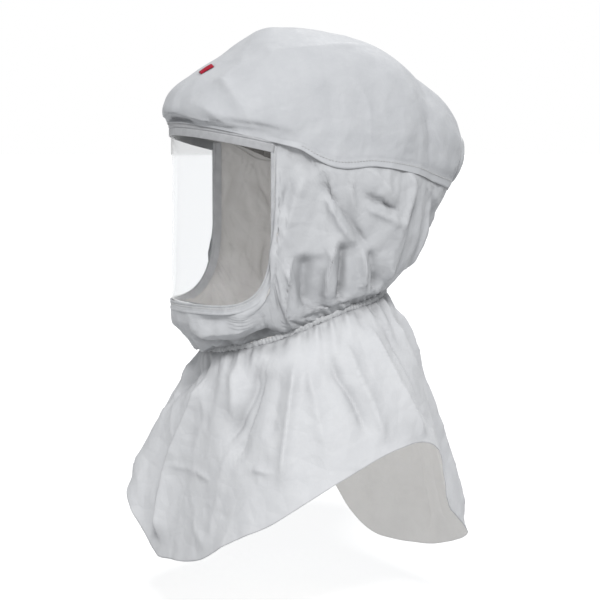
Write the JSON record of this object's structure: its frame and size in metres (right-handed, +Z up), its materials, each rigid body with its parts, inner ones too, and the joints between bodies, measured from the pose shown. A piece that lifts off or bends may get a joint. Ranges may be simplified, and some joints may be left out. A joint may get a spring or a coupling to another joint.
{
  "type": "powered air respirator hood",
  "caption": "Loose-fitting fabric respirator hood with a wrap-round visor, gathered neck, shoulder bib, and an air duct and ratchet headband inside.",
  "frame": {"origin": "middle of the wearer's head at the height of the forehead, inside the headband", "axes": "+Z up along the upright head, -Y the way the wearer faces, +X the wearer's left"},
  "size_m": [0.3138, 0.349, 0.5667],
  "materials": {
    "hood_cloth": "white non-woven polyolefin cloth, softly creased",
    "binding": "matt woven tape",
    "visor": "clear glossy acetate sheet",
    "elastic": "soft covered elastic",
    "tab": "woven polyester tab",
    "shell": "moulded plastic, fine grain",
    "dark_plastic": "moulded plastic, satin",
    "foam": "brushed cloth over foam",
    "seal": "smooth moulded rubber",
    "steel": "turned steel",
    "blue_plastic": "moulded plastic, satin"
  },
  "bodies": {
    "hood": {"brow_panel": "hood_cloth", "crown_panel": "hood_cloth", "chin_panel": "hood_cloth", "left_side_panel": "hood_cloth", "right_side_panel": "hood_cloth", "front_bib": "hood_cloth", "back_bib": "hood_cloth", "front_tab": "tab", "visor": "visor", "visor_top_binding": "binding", "visor_edge_binding": "binding", "neck_elastic": "elastic", "duct_upper_shell": "shell", "duct_lower_shell": "shell", "duct_end_cap": "shell", "nozzle_grille": "dark_plastic", "port_patch": "hood_cloth", "inlet_socket": "shell", "inlet_seal": "seal", "front_band": "dark_plastic", "sweatband": "foam", "ratchet_base": "dark_plastic", "nape_pad": "foam", "ratchet_cover": "dark_plastic", "cover_screw_1": "steel", "cover_screw_2": "steel", "cover_screw_3": "steel", "cover_screw_4": "steel", "left_crown_strap": "dark_plastic", "right_crown_strap": "dark_plastic", "crown_pad": "foam", "left_hanger": "dark_plastic", "right_hanger": "dark_plastic", "rear_hanger": "dark_plastic", "brow_bracket": "shell"},
    "knob": {"ratchet_pinion": "steel", "size_knob": "blue_plastic"},
    "left_band_tail": {"left_tail": "shell"},
    "right_band_tail": {"right_tail": "shell"},
    "airflow_shutter": {"shutter_plate": "blue_plastic", "airflow_tab": "blue_plastic"},
    "hose_clamp": {"clamp_ring": "shell"}
  },
  "joints": [
    {"name": "size_knob_turn", "type": "hinge", "parent": "hood", "child": "knob", "pos_m": [0, 0.09244, -0.06935], "axis": [0, 0.9272, -0.3746], "range_deg": [-160, 160]},
    {"name": "left_tail_travel", "type": "hinge", "parent": "hood", "child": "left_band_tail", "pos_m": [0, 0.01947, -0.03987], "axis": [0, 0.3746, 0.9272], "range_deg": [-8.2, 8.2]},
    {"name": "right_tail_travel", "type": "hinge", "parent": "hood", "child": "right_band_tail", "pos_m": [0, 0.01947, -0.03987], "axis": [0, 0.3746, 0.9272], "range_deg": [-8.2, 8.2]},
    {"name": "airflow_slide", "type": "slide", "parent": "hood", "child": "airflow_shutter", "axis": [1, 0, 0], "range_m": [-0.012, 0.012]},
    {"name": "clamp_turn", "type": "hinge", "parent": "hood", "child": "hose_clamp", "pos_m": [0, 0.168, -0.042], "axis": [0, 0.9703, -0.2419], "range_deg": [0, 40]}
  ],
  "couplings": [
    {"joint": "left_tail_travel", "follows": "size_knob_turn", "ratio": -0.050826},
    {"joint": "right_tail_travel", "follows": "size_knob_turn", "ratio": 0.050826}
  ]
}
